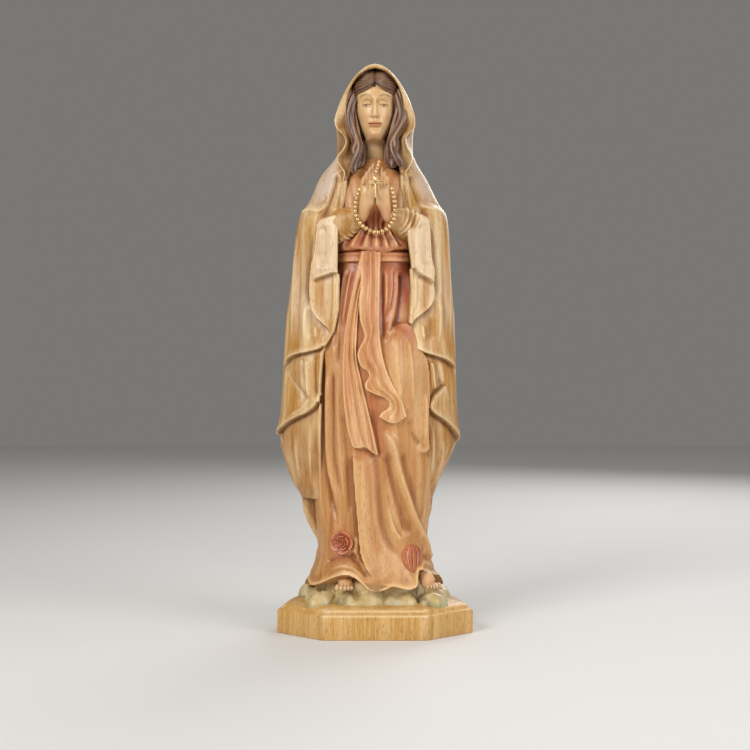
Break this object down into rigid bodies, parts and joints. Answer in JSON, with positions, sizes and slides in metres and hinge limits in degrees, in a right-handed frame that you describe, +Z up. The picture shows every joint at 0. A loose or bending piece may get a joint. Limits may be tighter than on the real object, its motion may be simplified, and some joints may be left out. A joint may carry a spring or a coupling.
{
  "type": "madonna statue",
  "caption": "Carved and stained wooden Madonna in a long mantle and veil, hands joined in prayer round a gilded rosary, standing on rocks on an eight-sided plinth.",
  "frame": {"origin": "middle of the plinth's underside, under the middle of the whole statue's outline", "axes": "+Z up, the figure faces -Y, her own left hand is at +X"},
  "size_m": [0.1022, 0.0754, 0.3],
  "materials": {
    "plinth_wood": "waxed, open-pored, unstained",
    "rock_stain": "thin green-grey stain, waxed",
    "flesh_glaze": "thin flesh-coloured glaze, satin",
    "gown_stain": "rose stain that fades to the natural wood towards the hem, waxed",
    "sash_stain": "rose stain wiped back on the high edges, waxed",
    "mantle_stain": "cream and ochre stain, whitened at the shoulders, waxed",
    "hair_stain": "grey-brown stain, waxed",
    "rose_stain": "red stain wiped back on the petal edges, waxed",
    "gilding": "gilded carving",
    "rosary_wire": "polished",
    "dowel_wood": "plain beech, glued",
    "screw_steel": "zinc plated"
  },
  "bodies": {
    "root": {"plinth": "plinth_wood", "rock_mound": "rock_stain", "foot_right": "flesh_glaze", "foot_left": "flesh_glaze", "gown": "gown_stain", "belt": "sash_stain", "sash_knot": "sash_stain", "sash_tail_long": "sash_stain", "sash_tail_short": "sash_stain", "mantle": "mantle_stain", "mantle_fall_right": "mantle_stain", "mantle_fall_left": "mantle_stain", "sleeve_right": "mantle_stain", "sleeve_left": "mantle_stain", "hand_right": "flesh_glaze", "hand_left": "flesh_glaze", "head": "flesh_glaze", "hair_crown": "hair_stain", "hair_lock_right": "hair_stain", "hair_lock_left": "hair_stain", "veil": "mantle_stain", "veil_fall_right": "mantle_stain", "veil_fall_left": "mantle_stain", "rosary_beads": "gilding", "rosary_cross": "gilding", "rosary_wire": "rosary_wire", "rose_right": "rose_stain", "rose_left": "rose_stain", "base_dowel_right": "dowel_wood", "base_dowel_left": "dowel_wood", "neck_dowel": "dowel_wood", "wrist_dowel_right": "dowel_wood", "wrist_dowel_left": "dowel_wood", "plinth_screw": "screw_steel"}
  },
  "joints": []
}
